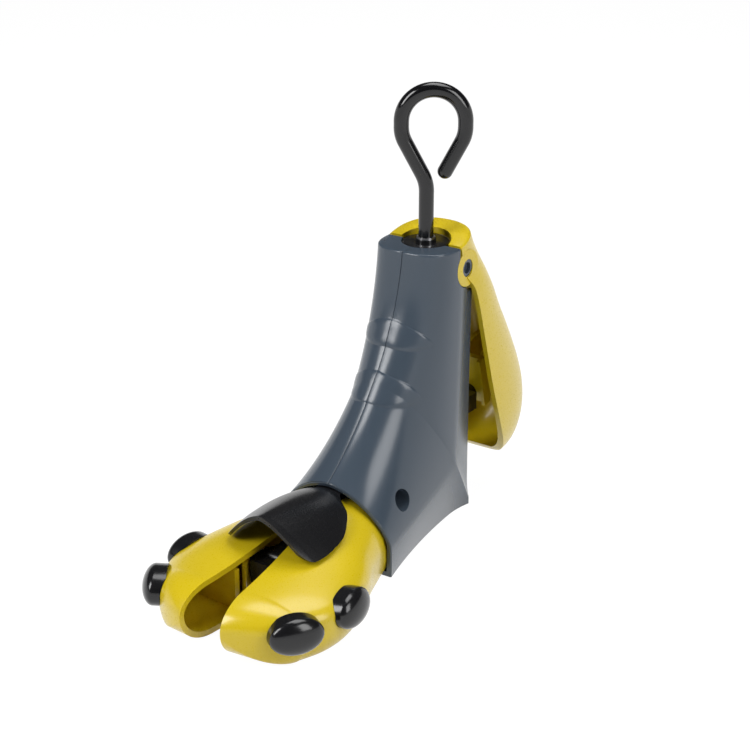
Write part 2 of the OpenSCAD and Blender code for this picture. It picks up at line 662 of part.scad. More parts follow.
// Where the spreader's corner meets the ramp, turned back to the closed toe half
function ramp_point(s) = let (angle = toe_open * s / slide_rest,
    q = [spreader_w + seat - hinge_x, spreader_y - front_ratio * cos(front_drop) * s + 1.4 - hinge_y])
    [hinge_x + q[0] * cos(angle) + q[1] * sin(angle),
        hinge_y - q[0] * sin(angle) + q[1] * cos(angle)];
RAMP_STEPS = 5;
ramp_t = 3;
ramp_h = 25;
module ramp() {
    points = [for (i = [-1 : RAMP_STEPS + 1]) ramp_point(slide_max * i / RAMP_STEPS)];
    back = [for (i = [RAMP_STEPS + 2 : -1 : 0]) points[i] + [ramp_t, 0.6]];
    translate([0, 0, 1]) linear_extrude(ramp_h) polygon(concat(points, back));
}
// Plugs on one side: distance, height, turn towards the tip and tilt up
plug_places = [[toe_w - 10.3, -177.3, 18, -40, 4], [toe_w + 0.4, -143.4, 19, 2, 5]];
module at_plug(i) {
    place = plug_places[i];
    translate([place[0], place[1], place[2]]) rotate([0, 0, place[3]]) rotate([0, -place[4], 0])
        children();
}
stem_r = 4;
module closed_toe_half() {
    difference() {
        union() {
            difference() {
                toe_solid(0, toe_seam);
                difference() {
                    toe_solid(toe_wall, -6);
                    ramp();
                    translate([3, -toe_tip + 40.5, 1]) cube([2 * toe_w, rib_t, ramp_h - 1]);
                    translate([spreader_w + 4, spreader_y - rib_t, 1]) cube([2 * toe_w, rib_t, 20]);
                }
                // Notch over the front bar
                translate([-5, -90, 25]) cube([10, 40, 30]);
                // Step over the front edge of the sole
                translate([-5, -82, -1]) cube([60, 30, sole_t + 1 + gap + 0.2]);
            }
            translate([hinge_x - lug_r, lug_y, 1]) cube([2 * lug_r, 9.5, 10]);
            translate([hinge_x - lug_r, lug_y, sole_t + 0.6])
                cube([2 * lug_r, hinge_y - lug_y, lug_t]);
            translate([hinge_x, hinge_y, sole_t + 0.6]) cylinder(r = lug_r, h = lug_t, $fn = FN);
        }
        translate([hinge_x, hinge_y, -1]) cylinder(r = toe_pin_d / 2 + run, h = 20, $fn = FN);
        for (i = [0, 1]) at_plug(i) translate([-9, 0, 0]) rotate([0, 90, 0])
            cylinder(r = stem_r + run, h = 12, $fn = FN);
    }
}
rib_t = 3;
lug_t = 7.4;
lug_r = 5;
lug_y = -92;
module at_toe(angle) {
    translate([hinge_x, hinge_y, 0]) rotate([0, 0, angle]) translate([-hinge_x, -hinge_y, 0])
        children();
}
module toe_half_left() {
    color(YELLOW) at_toe(toe_open) closed_toe_half();
}
module toe_half_right() {
    color(YELLOW) mirror([1, 0, 0]) at_toe(toe_open) closed_toe_half();
}
module toe_pin() {
    color(STEEL) translate([hinge_x, hinge_y, 1 + run]) cylinder(d = toe_pin_d, h = 14.4, $fn = FN);
}
module toe_pin_left() {
    toe_pin();
}
module toe_pin_right() {
    mirror([1, 0, 0]) toe_pin();
}

// Bunion plugs: a domed oval cut to the toe half's surface, with a stem in its wall
PLUG_SIDES = 24;
PLUG_ROWS = 7;
module plug(i) {
    color(BLACK) {
        difference() {
            at_plug(i) loft([for (k = [PLUG_ROWS : -1 : 0]) let (a = 84 * (k - 1) / (PLUG_ROWS - 1),
                    size = k == 0 ? 1 : pow(cos(a), 0.8), x = k == 0 ? -6 : plug_t * sin(a))
                [for (j = [0 : PLUG_SIDES - 1]) let (b = 360 * j / PLUG_SIDES)
                    [x, -size * plug_l / 2 * cos(b), size * plug_h / 2 * sin(b)]]]);
            toe_solid(-seat, -20);
        }
        at_plug(i) translate([-5, 0, 0]) rotate([0, 90, 0]) cylinder(r = stem_r, h = 8, $fn = FN);
    }
}
module plug_front_left() {
    at_toe(toe_open) plug(0);
}
module plug_rear_left() {
    at_toe(toe_open) plug(1);
}
module plug_front_right() {
    mirror([1, 0, 0]) at_toe(toe_open) plug(0);
}
module plug_rear_right() {
    mirror([1, 0, 0]) at_toe(toe_open) plug(1);
}

// Saddle: half width, edge's distance and height, crest's distance and height
tongue_z = 44;
tongue_top = 47.3;
saddle_screw_x = 4.6;
saddle_screw_y = -81;
saddle_screw_r = 1.25;
saddle_screw_l = 9;
saddle_keys = [
    [6.5, 77, 46.3, 77, tongue_top],
    [7, 88, 46.3, 88, tongue_top],
    [10.5, 93, 45, 91.6, 48],
    [17.5, 98, 42.6, 97, 49.8],
    [22.5, 105, 40, 105, 51.4],
    [saddle_w - 0.9, 114, 37.4, 115, 52.8],
    [saddle_w + 0.5, 125, 35.8, 128, 54],
    [saddle_w + 0.2, 132, 34.9, 138, 54.7],
    [saddle_w - 0.8, 137.4, 34.8, 142.5, 55.1],
    [saddle_w - 3, 140.4, 36.4, 144.8, 55.3],
    [saddle_w - 6, 142.6, 39.2, 146.2, 55.4]];
SADDLE_CROWN = 1.45;
SADDLE_ROWS = 24;
SADDLE_STEPS = 14;
function saddle_curve(k, drop) = let (f = min(1, (k[4] - k[2]) / k[0]), w = k[0] - drop * f)
    [for (j = [0 : SADDLE_STEPS]) let (a = 180 * j / SADDLE_STEPS, u = 1 - pow(abs(cos(a)), SADDLE_CROWN))
        [w * cos(a), -lerp(k[1], k[3], u), lerp(k[2] - drop * (1 - f), k[4] - drop, u)]];
function saddle_section(k) = let (top = saddle_curve(k, 0), under = saddle_curve(k, saddle_t))
    concat(top, [for (j = [SADDLE_STEPS : -1 : 0]) under[j]]);
module saddle() {
    color(BLACK) difference() {
        union() {
            loft([for (i = [0 : SADDLE_ROWS])
                saddle_section(spline(saddle_keys, i * (len(saddle_keys) - 1) / SADDLE_ROWS))]);
            for (side = [-1, 1]) translate([side * saddle_screw_x, saddle_screw_y, tongue_z])
                cylinder(r = 2.9, h = 2, $fn = FN);
        }
        for (side = [-1, 1]) translate([side * saddle_screw_x, saddle_screw_y, tongue_z - 5])
            cylinder(r = 1.4, h = 10, $fn = FN);
    }
}
module saddle_screws() {
    color(STEEL) for (side = [-1, 1]) translate([side * saddle_screw_x, saddle_screw_y, tongue_z]) {
        translate([0, 0, -1.2]) cylinder(r = 2.4, h = 1.2, $fn = FN);
        translate([0, 0, -0.5]) cylinder(r = saddle_screw_r, h = saddle_screw_l, $fn = FN);
    }
}

// Post on the sole that steadies the spindle's end and carries the pusher
post_half = 5;
post_deep = 8;
module guide_post() {
    top = cam_z - pusher_half - seat;
    color(BLACK) difference() {
        union() {
            translate([-post_half - 7, -post_deep - 1, sole_t])
                cube([2 * post_half + 14, 2 * post_deep + 2, 3]);
            translate([-post_half - 4, -post_deep, sole_t])
                cube([2 * post_half + 8, 2 * post_deep, top - sole_t]);
        }
        translate([0, 0, spindle_end - 1]) cylinder(r = rod_r + run, h = 60, $fn = FN);
    }
}

body_shell_left();
body_shell_right();
shell_screws();
top_bush();
thrust_washer();
handle_rod();
retaining_ring();
tail_clip();
cam_carriage();
drive_nut();
heel_pusher();
heel_cam_pin();
heel_plate();
front_bar();
front_cam_pin();
spreader();
spreader_pin();
toe_half_left();
toe_half_right();
toe_pin_left();
toe_pin_right();
saddle();
saddle_screws();
guide_post();
plug_front_left();
plug_rear_left();
plug_front_right();
plug_rear_right();
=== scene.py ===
import math

import bmesh
import bpy
import numpy as np
from mathutils import Matrix, Vector


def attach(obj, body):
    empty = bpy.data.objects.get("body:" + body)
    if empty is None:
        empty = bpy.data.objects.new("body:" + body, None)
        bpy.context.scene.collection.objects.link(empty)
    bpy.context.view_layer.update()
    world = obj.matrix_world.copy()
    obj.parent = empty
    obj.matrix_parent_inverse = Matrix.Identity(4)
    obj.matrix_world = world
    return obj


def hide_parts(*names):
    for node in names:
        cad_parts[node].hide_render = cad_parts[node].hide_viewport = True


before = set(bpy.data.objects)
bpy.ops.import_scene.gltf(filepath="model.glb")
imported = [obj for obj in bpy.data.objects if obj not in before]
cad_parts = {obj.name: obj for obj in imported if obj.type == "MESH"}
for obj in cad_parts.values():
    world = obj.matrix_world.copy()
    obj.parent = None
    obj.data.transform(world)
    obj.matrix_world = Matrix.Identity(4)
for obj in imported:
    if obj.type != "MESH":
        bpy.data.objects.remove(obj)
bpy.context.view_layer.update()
MM = 0.001

# Sizes of the CAD model, in millimetres
BODY_H, COLLAR_H, COLLAR_W, COLLAR_BASE_W = 155.0, 50.0, 34.0, 31.0
HEEL_BASE_W, TOP_W, TOP_FRONT, WALL, SOLE_T = 17.5, 22.6, 22.6, 2.4, 3.0
HEEL_SIDE_W, HEEL_CORNER = 20.3, 3.5
COLLAR_Y, COLLAR_TOP_Y, HEEL_Y, REAR_Y = 78.0, 90.0, 17.5, 13.6
REAR_LIP, REAR_LIP_H, REAR_TOP_W, TOP_T, REAR_DROP = 4.0, 18.0, 19.8, 5.0, 4.4
HOLLOW_BACK = 0.8
PIVOT = (6.0, BODY_H - 12.6)
HEEL_TOP_W, HEEL_W, HEEL_WALL, EAR_R, EAR_T, STUB_R = 22.4, 27.5, 2.8, 10.0, 3.0, 4.7
STUB_IN = HEEL_TOP_W - EAR_T - 0.4
HEEL_OPEN, TOE_OPEN = 14.0, 5.3
HINGE = (12.0, -65.0)
TOE_W, TOE_TIP, TOE_WALL, TOE_SEAM, TOE_BACK_H = 43.3, 192.5, 3.0, 0.4, 46.0
PLUG_L, PLUG_H, PLUG_T, STEM_R, SEAT = 27.0, 18.5, 6.0, 4.0, 0.3
SADDLE_W, SADDLE_T = 27.5, 2.4
BUSH_R, CAP_STEP_Y, HORSESHOE_R = 12.6, -2.0, 14.6
SCREWS = [(-64.0, 38.0), (-20.0, 11.0)]
WELL_R, SCREW_SEAT_X, SCREW_R = 5.6, 9.0, 1.96
BEVEL_ANGLE, SHARP_ANGLE, CAD_SHARP_ANGLE = 48, 38, 32
MERGE, WELD = 0.004, 0.002


def lerp(a, b, u):
    return a + (b - a) * u


def bezier(points, u):
    v = 1 - u
    weights = (v ** 3, 3 * v * v * u, 3 * v * u * u, u ** 3)
    return sum(w * np.array(p, float) for w, p in zip(weights, points))


def spline(rows, t):
    rows = [np.array(r, float) for r in rows]
    n = len(rows) - 1
    i = min(int(t), n - 1)
    u = t - i
    a, b, c, d = rows[max(i - 1, 0)], rows[i], rows[i + 1], rows[min(i + 2, n)]
    return 0.5 * (2 * b + (c - a) * u + (2 * a - 5 * b + 4 * c - d) * u * u
                  + (3 * b - a - 3 * c + d) * u ** 3)


# Mesh helpers: all of them work in millimetres
def make(name, verts, faces):
    mesh = bpy.data.meshes.new(name)
    mesh.from_pydata([tuple(v) for v in verts], [], faces)
    mesh.validate()
    ob = bpy.data.objects.new(name, mesh)
    bpy.context.scene.collection.objects.link(ob)
    return ob


def loft(name, sections):
    """Closed solid through sections of equal length; its ends are closed by strips."""
    n = len(sections[0])
    last = len(sections) - 1
    verts = [p for s in sections for p in s]
    faces = []
    for k in range(last):
        for j in range(n):
            a, b = k * n + j, k * n + (j + 1) % n
            faces.append((a, b, b + n, a + n))
    half = n // 2
    for j in range(half - 1 + n % 2):
        if j + 1 < n - 2 - j:
            faces.append((j, n - 1 - j, n - 2 - j, j + 1))
            faces.append((last * n + j, last * n + j + 1,
                          last * n + n - 2 - j, last * n + n - 1 - j))
        else:
            faces.append((j, n - 1 - j, n - 2 - j))
            faces.append((last * n + j, last * n + n - 2 - j, last * n + n - 1 - j))
    ob = make(name, verts, faces)
    outward(ob)
    return ob


def outward(ob):
    bm = bmesh.new()
    bm.from_mesh(ob.data)
    bmesh.ops.recalc_face_normals(bm, faces=bm.faces)
    if bm.calc_volume(signed=True) < 0:
        bmesh.ops.reverse_faces(bm, faces=bm.faces)
    bm.to_mesh(ob.data)
    bm.free()


def prism(polygon, low, high, name="tool"):
    """Polygon in XY, between two heights."""
    n = len(polygon)
    verts = [(p[0], p[1], low) for p in polygon] + [(p[0], p[1], high) for p in polygon]
    faces = [tuple(range(n - 1, -1, -1)), tuple(range(n, 2 * n))]
    faces += [(j, (j + 1) % n, n + (j + 1) % n, n + j) for j in range(n)]
    ob = make(name, verts, faces)
    outward(ob)
    return ob


def box(x, y, z, w, d, h):
    return prism([(x, y), (x + w, y), (x + w, y + d), (x, y + d)], z, z + h)


def drum(centre, axis, radius, length, radius2=None, sides=96):
    """Cylinder or cone from centre along axis "x", "y" or "z"."""
    radius2 = radius if radius2 is None else radius2
    ring = [(math.cos(2 * math.pi * j / sides), math.sin(2 * math.pi * j / sides))
            for j in range(sides)]
    verts = [(radius * c, radius * s, 0) for c, s in ring]
    verts += [(radius2 * c, radius2 * s, length) for c, s in ring]
    faces = [tuple(range(sides - 1, -1, -1)), tuple(range(sides, 2 * sides))]
    faces += [(j, (j + 1) % sides, sides + (j + 1) % sides, sides + j) for j in range(sides)]
    ob = make("tool", verts, faces)
    turn = {"x": Matrix.Rotation(math.pi / 2, 4, "Y"), "y": Matrix.Rotation(-math.pi / 2, 4, "X"),
            "z": Matrix.Identity(4)}[axis]
    ob.data.transform(Matrix.Translation(centre) @ turn)
    outward(ob)
    return ob


def solve(base, tools, operation="DIFFERENCE"):
    """Applies the tools to base one after another and removes them."""
    for tool in tools:
        m = base.modifiers.new("solve", "BOOLEAN")
        m.operation = operation
        m.object = tool
        m.solver = "MANIFOLD"
    graph = bpy.context.evaluated_depsgraph_get()
    graph.update()
    mesh = bpy.data.meshes.new_from_object(base.evaluated_get(graph))
    base.modifiers.clear()
    old = base.data
    base.data = mesh
    bpy.data.meshes.remove(old)
    for tool in tools:
        drop(tool)
    return base


def drop(ob):
    mesh = ob.data
    bpy.data.objects.remove(ob)
    bpy.data.meshes.remove(mesh)


def copy(ob, name):
    new = bpy.data.objects.new(name, ob.data.copy())
    bpy.context.scene.collection.objects.link(new)
    return new


def mirrored(ob, name):
    new = copy(ob, name)
    new.data.transform(Matrix.Scale(-1, 4, (1, 0, 0)))
    new.data.flip_normals()
    return new


def about(point, axis, degrees):
    p = Vector(point)
    return (Matrix.Translation(p) @ Matrix.Rotation(math.radians(degrees), 4, axis)
            @ Matrix.Translation(-p))


def merge_slivers(ob):
    """Joins points that nearly meet, so that the edges can be rounded evenly."""
    bm = bmesh.new()
    bm.from_mesh(ob.data)
    bmesh.ops.remove_doubles(bm, verts=bm.verts, dist=MERGE)
    bmesh.ops.dissolve_degenerate(bm, edges=bm.edges, dist=MERGE)
    bm.to_mesh(ob.data)
    bm.free()


def dress(ob, body, nodes, slot, material, edge):
    """Turns a piece to metres, rounds its edges, shades it and ties it to the frame."""
    if slot == "yellow":
        merge_slivers(ob)
    ob.data.transform(Matrix.Scale(MM, 4))
    ob.data.update()
    if edge:
        m = ob.modifiers.new("edges", "BEVEL")
        m.width = edge * MM
        m.segments = 3
        m.limit_method = "ANGLE"
        m.angle_limit = math.radians(BEVEL_ANGLE)
        m.use_clamp_overlap = True
        m.miter_outer = "MITER_ARC"
    if slot == "yellow":
        m = ob.modifiers.new("weld", "WELD")
        m.merge_threshold = WELD * MM
    for polygon in ob.data.polygons:
        polygon.use_smooth = True
    ob.data.set_sharp_from_angle(angle=math.radians(SHARP_ANGLE))
    ob.data.materials.clear()
    ob.data.materials.append(material)
    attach(ob, body)
    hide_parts(*nodes)
    return ob


# Materials
def plastic(name, colour, rough, tint=0.012, coat=0.0, grain=0.012, scale=1.0):
    """Moulded plastic: faint flow mottling in the colour, uneven gloss and a fine skin."""
    m = bpy.data.materials.new(name)
    m.use_nodes = True
    t = m.node_tree
    s = t.nodes["Principled BSDF"]
    s.inputs["IOR"].default_value = 1.5
    s.inputs["Coat Weight"].default_value = coat
    s.inputs["Coat Roughness"].default_value = 0.06
    place = t.nodes.new("ShaderNodeTexCoord")
    flow = t.nodes.new("ShaderNodeTexNoise")
    flow.inputs["Scale"].default_value = 22 * scale
    flow.inputs["Detail"].default_value = 3
    flow.inputs["Distortion"].default_value = 0.6
    ramp = t.nodes.new("ShaderNodeValToRGB")
    ramp.color_ramp.elements[0].position = 0.3
    ramp.color_ramp.elements[1].position = 0.7
    ramp.color_ramp.elements[0].color = (*[c * (1 - tint) for c in colour], 1)
    ramp.color_ramp.elements[1].color = (*[min(1, c * (1 + tint)) for c in colour], 1)
    skin = t.nodes.new("ShaderNodeTexNoise")
    skin.inputs["Scale"].default_value = 1500 * scale
    skin.inputs["Detail"].default_value = 4
    gloss = t.nodes.new("ShaderNodeMapRange")
    gloss.inputs["To Min"].default_value = rough * 0.9
    gloss.inputs["To Max"].default_value = rough * 1.1
    bump = t.nodes.new("ShaderNodeBump")
    bump.inputs["Strength"].default_value = grain
    bump.inputs["Distance"].default_value = 0.0001
    link = t.links.new
    link(place.outputs["Object"], flow.inputs["Vector"])
    link(place.outputs["Object"], skin.inputs["Vector"])
    link(flow.outputs["Fac"], ramp.inputs["Fac"])
    link(ramp.outputs["Color"], s.inputs["Base Color"])
    link(skin.outputs["Fac"], gloss.inputs["Value"])
    link(gloss.outputs["Result"], s.inputs["Roughness"])
    link(skin.outputs["Fac"], bump.inputs["Height"])
    link(bump.outputs["Normal"], s.inputs["Normal"])
    return m


def metal(name, colour, rough, lines=900.0, grain=0.05):
    """Turned metal: fine rings across Z and uneven polish."""
    m = bpy.data.materials.new(name)
    m.use_nodes = True
    t = m.node_tree
    s = t.nodes["Principled BSDF"]
    s.inputs["Metallic"].default_value = 1.0
    place = t.nodes.new("ShaderNodeTexCoord")
    stretch = t.nodes.new("ShaderNodeMapping")
    stretch.inputs["Scale"].default_value = (1, 1, 14)
    noise = t.nodes.new("ShaderNodeTexNoise")
    noise.inputs["Scale"].default_value = lines
    noise.inputs["Detail"].default_value = 3
    ramp = t.nodes.new("ShaderNodeValToRGB")
    ramp.color_ramp.elements[0].color = (*[c * 0.82 for c in colour], 1)
    ramp.color_ramp.elements[1].color = (*[min(1, c * 1.12) for c in colour], 1)
    gloss = t.nodes.new("ShaderNodeMapRange")
    gloss.inputs["To Min"].default_value = rough * 0.75
    gloss.inputs["To Max"].default_value = rough * 1.3
    bump = t.nodes.new("ShaderNodeBump")
    bump.inputs["Strength"].default_value = grain
    bump.inputs["Distance"].default_value = 0.0002
    link = t.links.new
    link(place.outputs["Object"], stretch.inputs["Vector"])
    link(stretch.outputs["Vector"], noise.inputs["Vector"])
    link(noise.outputs["Fac"], ramp.inputs["Fac"])
    link(ramp.outputs["Color"], s.inputs["Base Color"])
    link(noise.outputs["Fac"], gloss.inputs["Value"])
    link(gloss.outputs["Result"], s.inputs["Roughness"])
    link(noise.outputs["Fac"], bump.inputs["Height"])
    link(bump.outputs["Normal"], s.inputs["Normal"])
    return m


SLATE = plastic("slate_plastic", (0.057, 0.077, 0.103), 0.22)
YELLOW = plastic("yellow_plastic", (0.69, 0.515, 0.010), 0.28, coat=0.15, grain=0.006)
SATIN = plastic("satin_black_plastic", (0.007, 0.007, 0.008), 0.28, grain=0.03)
BLACK = plastic("black_plastic", (0.007, 0.007, 0.008), 0.2, coat=0.1)
LACQUER = plastic("black_lacquer", (0.004, 0.004, 0.005), 0.14, coat=0.1)
STEEL = metal("turned_steel", (0.55, 0.55, 0.57), 0.28)
BRASS = metal("turned_brass", (0.62, 0.43, 0.17), 0.3)

# Body shells
ARCH_STEPS, SIDE_STEPS = 44, 12
GROOVE = 0.3
SHELL_GAP = 0.08
# Lens reliefs across the instep: top and bottom at the seam, angle and height of the tip
LENSES = [(121.0, 108.0, 58.0, 109.0), (96.5, 82.5, 76.0, 81.5)]
LENS_DEPTH, LENS_RISE = 0.62, 0.35
# The reliefs wrap round an axis this far behind the seam
RELIEF_AXIS = 26
# Share of a section's height at which its arch meets its flat side
ARCH_END = 0.6
# Round at the body's collar and top
RIM = 1.1


def seam_point(u, d, h):
    return bezier([(-COLLAR_TOP_Y + 0.57 * d, COLLAR_H - 0.82 * d),
                   (-64 + 0.57 * d, COLLAR_H + 18 - 0.82 * d),
                   (-TOP_FRONT - 6 + 0.99 * d, 0.68 * BODY_H), (-TOP_FRONT + 0.99 * d, h)], u)


def rear_edge_y(z):
    return (REAR_Y + REAR_LIP * max(0, 1 - z / REAR_LIP_H) ** 2
            + 2 * min(1, z / BODY_H) ** 3)


def body_section(s, d, h, floor_z, back, start):
    low = s < 0.5
    u = 2 * s if low else 2 * s - 1
    z = 0 if low else u * h
    a = seam_point(s, d, h)
    if low:
        b = np.array([lerp(-COLLAR_Y, HEEL_Y + back, u), floor_z])
        w_end = HEEL_BASE_W + (COLLAR_BASE_W - HEEL_BASE_W) * (1 - u) ** 1.9 - d
        w_end += (HEEL_SIDE_W - HEEL_BASE_W) * max(0, (u - 0.8) / 0.2) ** 2
    else:
        b = np.array([rear_edge_y(z) + back, max(z, floor_z)])
        w_end = lerp(HEEL_SIDE_W, REAR_TOP_W, (z / BODY_H) ** 0.6) - d
    w = TOP_W + (COLLAR_W - TOP_W) * (1 - s) ** 1.5 - d
    p = 1.7 + 1.3 * s
    inward = (b - a) / np.linalg.norm(b - a)
    points = []
    if start > 0:
        q = a + inward * GROOVE
        points.append((start, q[0], q[1]))
        points.append((start + GROOVE * 0.5, *(a + inward * GROOVE * 0.35)))
    else:
        points.append((start, a[0], a[1]))
    for j in range(1, ARCH_STEPS + 1):
        t = math.pi / 2 * j / ARCH_STEPS
        x = w * math.sin(t) ** (2 / p)
        q = lerp(a, b, ARCH_END * (1 - math.cos(t) ** (2 / p)))
        if x > start + GROOVE * 1.2:
            points.append((x, q[0], q[1]))
        else:
            points.append((start + GROOVE * (0.6 + 0.1 * j), q[0], q[1]))
    for j in range(1, SIDE_STEPS + 1):
        t = j / SIDE_STEPS
        q = lerp(a, b, lerp(ARCH_END, 1, t))
        points.append((lerp(w, w_end, t ** 1.2), q[0], q[1]))
    points.append((start, b[0], b[1]))
    return points


def lens_lift(p):
    """How far a relief lifts the surface at a point."""
    x, y, z = p
    best = 0.0
    for top, bottom, tip_angle, tip_z in LENSES:
        if not bottom - 8 < z < top + 3:
            continue
        mid0, half0 = (top + bottom) / 2, (top - bottom) / 2
        seam_y = seam_at_height(z)
        angle = math.degrees(math.atan2(x, -(y - (seam_y + RELIEF_AXIS))))
        t = angle / tip_angle
        if t >= 1 or t < 0:
            continue
        half = half0 * (1 - t * t) ** 0.85
        q = abs(z - lerp(mid0, tip_z, t ** 1.2)) / max(half, 0.01)
        if q < 1:
            best = max(best, LENS_DEPTH * (1 - q ** 4) ** 0.6 * (1 - t ** 6))
    return best


SEAM_TABLE = [seam_point(i / 200, 0, BODY_H) for i in range(201)]


def seam_at_height(z):
    return float(np.interp(z, [p[1] for p in SEAM_TABLE], [p[0] for p in SEAM_TABLE]))


def row_places():
    """Places of the body's rows: four times as close where the reliefs are."""
    low, high = [float(np.interp(z, [p[1] for p in SEAM_TABLE], np.linspace(0, 1, 201)))
                 for z in (LENSES[1][1] - 4, LENSES[0][0] + 4)]
    s, places = 0.0068, []
    while s < 1:
        places.append(s)
        s += 0.0019 if low < s < high else 0.0072
    return places + [1.0]


ROW_PLACES = row_places()


def body_outer():
    r = RIM
    rows = []
    for i in range(4):
        f = math.pi / 2 * i / 4
        rows.append(body_section(0, r * (1 - math.sin(f)), BODY_H - r, 0, 0, SHELL_GAP))
        shift = r * (1 - math.cos(f))
        rows[-1] = [(p[0], p[1] + shift * 0.975, p[2] + shift * 0.2) if p[2] > 0.01 else
                    (p[0], p[1] + shift, p[2]) for p in rows[-1]]
    for s in ROW_PLACES:
        rows.append(body_section(s, 0, BODY_H - r, 0, 0, SHELL_GAP))
    for i in range(1, 5):
        f = math.pi / 2 * i / 4
        rows.append(body_section(1, r * (1 - math.cos(f)), BODY_H - r + r * math.sin(f), 0, 0,
                                 SHELL_GAP))
    lifted = []
    for row in rows:
        new = []
        for p in row:
            lift = lens_lift(p) if p[0] > 0 else 0
            if lift:
                away = Vector((p[0], p[1] - (seam_at_height(p[2]) + RELIEF_AXIS), 0)).normalized()
                p = (p[0] + away.x * lift * (1 if p[0] > 1.5 else 0), p[1] + away.y * lift,
                     p[2] + LENS_RISE * lift)
            new.append(p)
        lifted.append(new)
    return loft("body_outer", lifted)


def body_hollow():
    h = BODY_H - TOP_T - REAR_DROP
    rows = [body_section(i / 90, WALL, h, SOLE_T, HOLLOW_BACK, -1) for i in range(91)]
    rows.insert(0, [(p[0], p[1] - 8, p[2]) for p in rows[0]])
    return loft("body_hollow", rows)


def heel_corner():
    """What is cut off to round the corner of the sole and back."""
    x, y, r = HEEL_SIDE_W + 0.4, HEEL_Y + 0.2, HEEL_CORNER
    arc = [(x - r + r * math.sin(a), y - r + r * math.cos(a))
           for a in np.linspace(0, math.pi / 2, 17)]
    return prism([(x + 9, y + 9), (x - r, y + 9)] + arc + [(x + 9, y - r)], -1, 60)


def body_shell(side):
    inside = []
    for y, z in SCREWS:
        inside.append(drum((-2, y, z), "x", 3.2, 42))
        inside.append(drum((6, y, z), "x", WELL_R + 1.6, 40))
    inside.append(box(STUB_IN - 2.6, PIVOT[0] - 14, PIVOT[1] - 14.4, 10, 22, 22))
    inside.append(drum((HINGE[0], HINGE[1], 11.6), "z", 4.5, 4))
    inside.append(box(HINGE[0], HINGE[1] - 4.5, 11.6, 30, 9, 4))
    for y in (-13, 4):
        inside.append(box(13.4, y, 14, 16, 2.6, 92))
    inside.append(drum((4.6, -81, 47.6), "z", 3.2, 20))
    hollow = solve(body_hollow(), inside)
    cuts = [hollow, heel_corner(),
            drum((0, 0, BODY_H - 4), "z", BUSH_R + 0.4, 10, sides=160),
            drum((0, 0, BODY_H - 40), "z", 9.06, 60),
            box(-1, CAP_STEP_Y, BODY_H - REAR_DROP, 40, 40, 20),
            drum((STUB_IN, PIVOT[0], PIVOT[1]), "x", EAR_R + 0.6, 20, sides=160),
            box(STUB_IN, CAP_STEP_Y, PIVOT[1], 20, 40, 30),
            box(STUB_IN - 2.4, PIVOT[0] + 1.4, PIVOT[1] - 14.4, 20, 40, 40),
            box(STUB_IN, PIVOT[0], PIVOT[1] - 12, 20, 40, 14),
            drum((HINGE[0], HINGE[1], 1), "z", 2.56, 15),
            drum((4.6, -81, 44), "z", 1.31, 10)]
    for (y, z), screw_side in zip(SCREWS, (1, -1)):
        cuts.append(drum((-1, y, z), "x", SCREW_R, 40 if screw_side == side else 11))
        if screw_side == side:
            cuts.append(drum((SCREW_SEAT_X, y, z), "x", WELL_R, 40))
    shell = solve(body_outer(), cuts)
    stub = drum((STUB_IN - 3.5, PIVOT[0], PIVOT[1]), "x", STUB_R, EAR_T + 3.5)
    stub = solve(stub, [drum((STUB_IN + 1, PIVOT[0], PIVOT[1]), "x", STUB_R - 1.6, EAR_T)])
    return solve(shell, [stub], "UNION")


left_shell = body_shell(1)
left_shell.name = "shell_left"
right_base = body_shell(-1)
right_shell = mirrored(right_base, "shell_right")
drop(right_base)
dress(left_shell, "body", ["body_shell_left"], "body", SLATE, edge=0.45)
dress(right_shell, "body", ["body_shell_right"], "body", SLATE, edge=0.45)

# Heel plate, built closed and then turned open
HEEL_KEYS = [
    (HEEL_TOP_W - 1.2, 2.5, BODY_H + 2, 25.2, BODY_H + 2),
    (HEEL_TOP_W - 0.2, 2.5, BODY_H + 1.2, 26.4, BODY_H + 1.2),
    (HEEL_TOP_W, 2.5, BODY_H, 26.8, BODY_H),
    (HEEL_TOP_W, 2.6, 147, 29.5, 147),
    (HEEL_TOP_W + 0.4, 4, 138, 33, 138),
    (HEEL_TOP_W + 1.8, 8, 129, 36.5, 127),
    (lerp(HEEL_TOP_W, HEEL_W, 0.56), 8.8, 116, 41, 115),
    (lerp(HEEL_TOP_W, HEEL_W, 0.68), 8.8, 102, 45.5, 100),
    (lerp(HEEL_TOP_W, HEEL_W, 0.8), 8.8, 88, 50.5, 86),
    (lerp(HEEL_TOP_W, HEEL_W, 0.92), 8.8, 74, 55, 72),
    (HEEL_W, 9.4, 60, 59, 57),
    (HEEL_W, 11, 46, 61, 43),
    (HEEL_W - 0.9, 13.4, 34, 60, 30),
    (HEEL_W - 3, 16.8, 23.5, 56, 19.5),
    (HEEL_W - 6.6, 20.6, 14.5, 49.5, 11),
    (HEEL_W - 12, 24.4, 7.8, 41.5, 5.6),
    (HEEL_W - 19.5, 27.2, 4.4, 34, 3.8),
    (HEEL_W - 25, 28.2, 3.4, 30.2, 3.2)]
U_STEPS, HEEL_ROWS = 80, 130


def u_section(k, d, ahead):
    w, p = k[0] - d, 2.4
    a, b = np.array([k[1], k[2]]), np.array([k[3], k[4]])
    along = (b - a) / np.linalg.norm(b - a)
    back = b - along * d
    points = []
    if ahead:
        points.append((w, *(a - along * ahead)))
    for j in range(U_STEPS + 1):
        t = math.pi * j / U_STEPS
        c = math.cos(t)
        q = lerp(a, back, max(math.sin(t), 0) ** (2 / p))
        points.append((w * math.copysign(abs(c) ** (2 / p), c), q[0], q[1]))
    if ahead:
        points.append((-w, *(a - along * ahead)))
    return points


